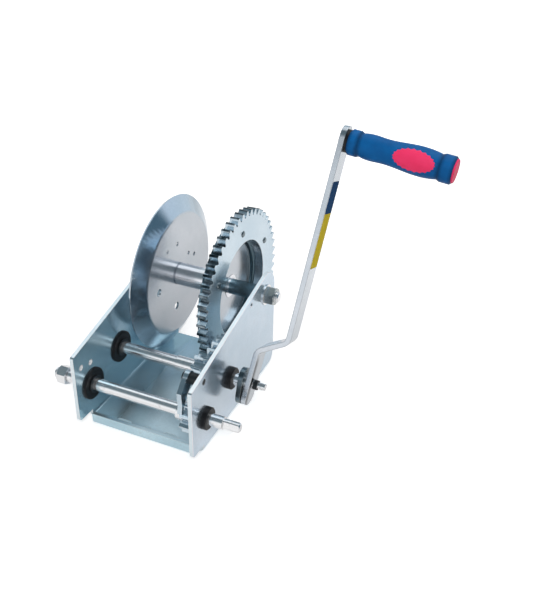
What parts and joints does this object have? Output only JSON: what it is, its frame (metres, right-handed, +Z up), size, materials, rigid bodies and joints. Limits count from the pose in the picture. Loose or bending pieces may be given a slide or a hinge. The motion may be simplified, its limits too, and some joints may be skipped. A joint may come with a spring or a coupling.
{
  "type": "hand winch",
  "caption": "Two-speed hand winch: a slotted sheet-steel channel carries a geared rope drum on a fixed axle, two cross shafts in bushes and an offset crank with a turning grip.",
  "frame": {"origin": "midway between the two centre bolt holes of the base, on its underside", "axes": "+X along the shafts towards the crank, +Y towards the drum at the back, +Z up"},
  "size_m": [0.4366, 0.3152, 0.3724],
  "materials": {
    "zinc_sheet": "bright zinc plate",
    "bright_steel": "bright drawn steel",
    "gear_steel": "zinc-plated teeth",
    "black_steel": "black phosphate",
    "black_plastic": "moulded black",
    "blue_grip": "satin blue",
    "red_pad": "soft red"
  },
  "bodies": {
    "frame": {"frame": "zinc_sheet", "bush_upper_left": "black_plastic", "bush_upper_right": "black_plastic", "bush_lower_left": "black_plastic", "bush_lower_right": "black_plastic", "axle_bolt": "bright_steel", "axle_nut": "bright_steel", "axle_washers": "bright_steel", "distance_tube": "bright_steel", "pawl_pin": "black_steel"},
    "drum": {"drum_core": "bright_steel", "drum_flange_left": "zinc_sheet", "drum_flange_right": "zinc_sheet", "drum_gear": "gear_steel", "gear_rivets": "bright_steel"},
    "upper_shaft": {"upper_shaft": "bright_steel", "upper_shaft_ring": "black_steel", "pinion_sleeve": "bright_steel", "drum_pinion": "gear_steel", "intermediate_gear": "gear_steel", "crank_arm": "zinc_sheet", "crank_hub": "black_steel", "crank_clip": "black_steel", "grip_spindle": "bright_steel", "grip_spacer": "black_plastic"},
    "lower_shaft": {"lower_shaft": "bright_steel", "lower_shaft_ring": "black_steel", "lower_collar": "bright_steel", "lower_pinion": "gear_steel", "lower_shaft_nut": "bright_steel"},
    "grip": {"grip_sleeve": "blue_grip", "grip_pads": "red_pad", "grip_end_cap": "red_pad"},
    "pawl": {"pawl": "gear_steel"}
  },
  "joints": [
    {"name": "upper_shaft_spin", "type": "hinge", "parent": "frame", "child": "upper_shaft", "pos_m": [0, -0.019, 0.0635], "axis": [1, 0, 0], "continuous": true},
    {"name": "drum_spin", "type": "hinge", "parent": "frame", "child": "drum", "pos_m": [0, 0.08866, 0.12503], "axis": [1, 0, 0], "continuous": true},
    {"name": "lower_shaft_spin", "type": "hinge", "parent": "frame", "child": "lower_shaft", "pos_m": [0, -0.08554, 0.04948], "axis": [1, 0, 0], "continuous": true},
    {"name": "grip_spin", "type": "hinge", "parent": "upper_shaft", "child": "grip", "pos_m": [0.17663, 0.08038, 0.35608], "axis": [0.9953, -0.0313, -0.0921], "continuous": true},
    {"name": "pawl_swing", "type": "hinge", "parent": "frame", "child": "pawl", "pos_m": [0.0613, -0.0877, 0.1042], "axis": [1, 0, 0], "range_deg": [-60, 10]}
  ],
  "couplings": [
    {"joint": "drum_spin", "follows": "upper_shaft_spin", "ratio": -0.19231},
    {"joint": "lower_shaft_spin", "follows": "upper_shaft_spin", "ratio": -2.4}
  ]
}
